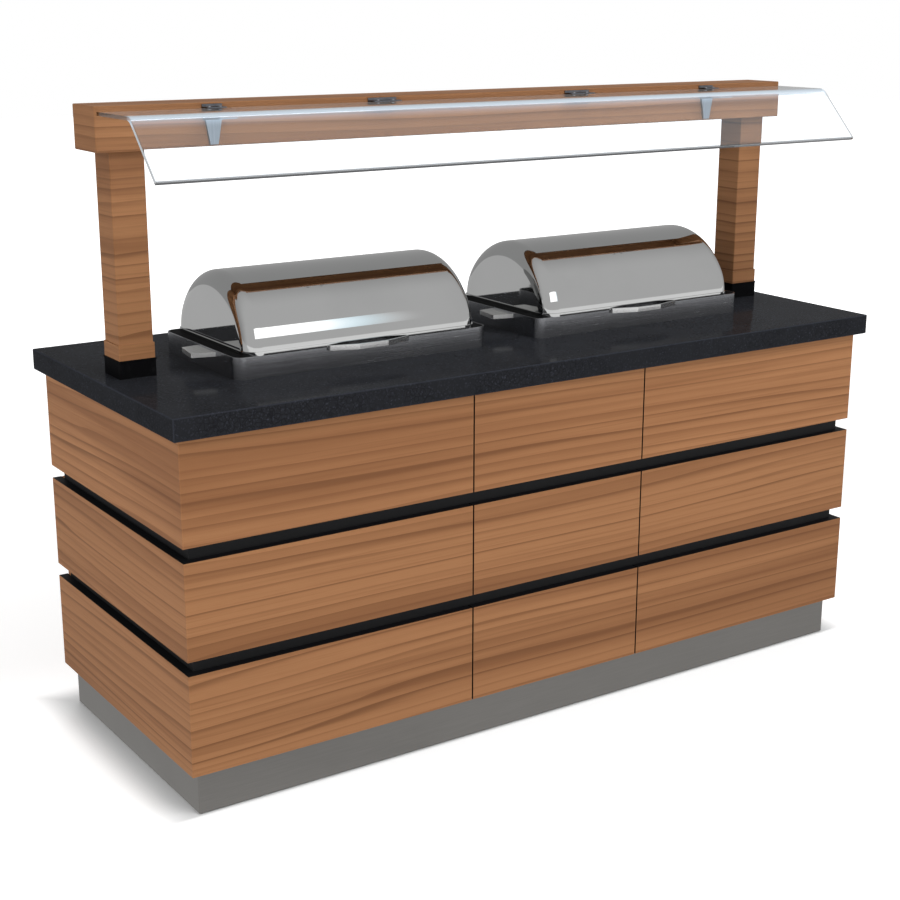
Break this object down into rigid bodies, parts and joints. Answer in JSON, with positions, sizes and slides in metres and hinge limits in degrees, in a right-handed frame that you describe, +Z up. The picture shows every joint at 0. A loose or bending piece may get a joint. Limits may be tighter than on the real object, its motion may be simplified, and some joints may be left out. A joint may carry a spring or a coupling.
{
  "type": "heated buffet counter",
  "caption": "Timber-clad buffet counter with a stone worktop, heated wells under hinged dome lids, and a bent glass guard on a timber gantry.",
  "frame": {"origin": "on the floor, below the middle of the worktop", "axes": "+X along the counter towards the right as the guests see it, +Y towards the staff side, +Z up"},
  "size_m": [2, 0.8, 1.498],
  "materials": {
    "timber": "satin lacquered veneer with horizontal grain",
    "stone": "polished black granite with a fine speckle",
    "black_board": "matt black laminated board",
    "plinth_steel": "satin steel sheet",
    "satin_steel": "satin stainless steel",
    "lid_steel": "mirror polished stainless steel",
    "handle_steel": "polished stainless bar",
    "pan_steel": "pressed stainless steel",
    "black_metal": "black powder coat",
    "element_metal": "heat-darkened steel tube",
    "glass": "clear bent safety glass with polished edges",
    "bracket_metal": "satin grey aluminium",
    "foot_metal": "zinc plated steel",
    "hinge_metal": "satin stainless steel",
    "knob_plastic": "black moulded plastic with a plain pointer",
    "rocker_plastic": "glossy black moulded plastic",
    "lamp_plastic": "clear red moulded plastic",
    "gland_plastic": "dark grey moulded plastic"
  },
  "bodies": {
    "counter": {"base_board": "black_board", "beam": "timber", "cable_gland": "gland_plastic", "centre_support": "black_board", "cladding_bottom_centre": "timber", "cladding_bottom_left": "timber", "cladding_bottom_right": "timber", "cladding_middle_centre": "timber", "cladding_middle_left": "timber", "cladding_middle_right": "timber", "cladding_top_centre": "timber", "cladding_top_left": "timber", "cladding_top_right": "timber", "control_plate": "satin_steel", "food_pan_left": "pan_steel", "food_pan_right": "pan_steel", "front_board": "black_board", "glass_bracket_left": "bracket_metal", "glass_bracket_right": "bracket_metal", "glass_clips": "bracket_metal", "glass_guard": "glass", "heating_element_left": "element_metal", "heating_element_right": "element_metal", "hinge_fixed_leaves": "hinge_metal", "ladle_rest_left": "handle_steel", "ladle_rest_right": "handle_steel", "levelling_feet": "foot_metal", "partition_left": "black_board", "partition_right": "black_board", "pilot_lamps": "lamp_plastic", "plinth": "plinth_steel", "post_left": "timber", "post_right": "timber", "post_shoe_left": "black_metal", "post_shoe_right": "black_metal", "rear_fascia": "timber", "service_shelf": "black_board", "side_board_left": "black_board", "side_board_right": "black_board", "water_tank_left": "pan_steel", "water_tank_right": "pan_steel", "well_frame_left": "black_metal", "well_frame_right": "black_metal", "well_skirt_left": "satin_steel", "well_skirt_right": "satin_steel", "worktop": "stone"},
    "lid_left": {"lid_left": "lid_steel", "lid_handle_left": "handle_steel"},
    "door_left": {"door_left": "timber", "door_left_hinge_leaves": "hinge_metal"},
    "knob_left": {"thermostat_knob_left": "knob_plastic"},
    "rocker_left": {"rocker_switch_left": "rocker_plastic"},
    "lid_right": {"lid_right": "lid_steel", "lid_handle_right": "handle_steel"},
    "door_right": {"door_right": "timber", "door_right_hinge_leaves": "hinge_metal"},
    "knob_right": {"thermostat_knob_right": "knob_plastic"},
    "rocker_right": {"rocker_switch_right": "rocker_plastic"}
  },
  "joints": [
    {"name": "lid_left_hinge", "type": "hinge", "parent": "counter", "child": "lid_left", "pos_m": [-0.41, 0.214, 0.966], "axis": [-1, 0, 0], "range_deg": [0, 90]},
    {"name": "lid_right_hinge", "type": "hinge", "parent": "counter", "child": "lid_right", "pos_m": [0.41, 0.214, 0.966], "axis": [-1, 0, 0], "range_deg": [0, 90]},
    {"name": "door_left_hinge", "type": "hinge", "parent": "counter", "child": "door_left", "pos_m": [-0.957, 0.379, 0.347], "axis": [0, 0, 1], "range_deg": [0, 170]},
    {"name": "door_right_hinge", "type": "hinge", "parent": "counter", "child": "door_right", "pos_m": [0.957, 0.379, 0.347], "axis": [0, 0, -1], "range_deg": [0, 170]},
    {"name": "thermostat_left_turn", "type": "hinge", "parent": "counter", "child": "knob_left", "pos_m": [-0.165, 0.3775, 0.74], "axis": [0, -1, 0], "range_deg": [0, 270]},
    {"name": "thermostat_right_turn", "type": "hinge", "parent": "counter", "child": "knob_right", "pos_m": [0.165, 0.3775, 0.74], "axis": [0, -1, 0], "range_deg": [0, 270]},
    {"name": "rocker_left_tip", "type": "hinge", "parent": "counter", "child": "rocker_left", "pos_m": [-0.065, 0.376, 0.74], "axis": [1, 0, 0], "range_deg": [0, 18]},
    {"name": "rocker_right_tip", "type": "hinge", "parent": "counter", "child": "rocker_right", "pos_m": [0.065, 0.376, 0.74], "axis": [1, 0, 0], "range_deg": [0, 18]}
  ]
}
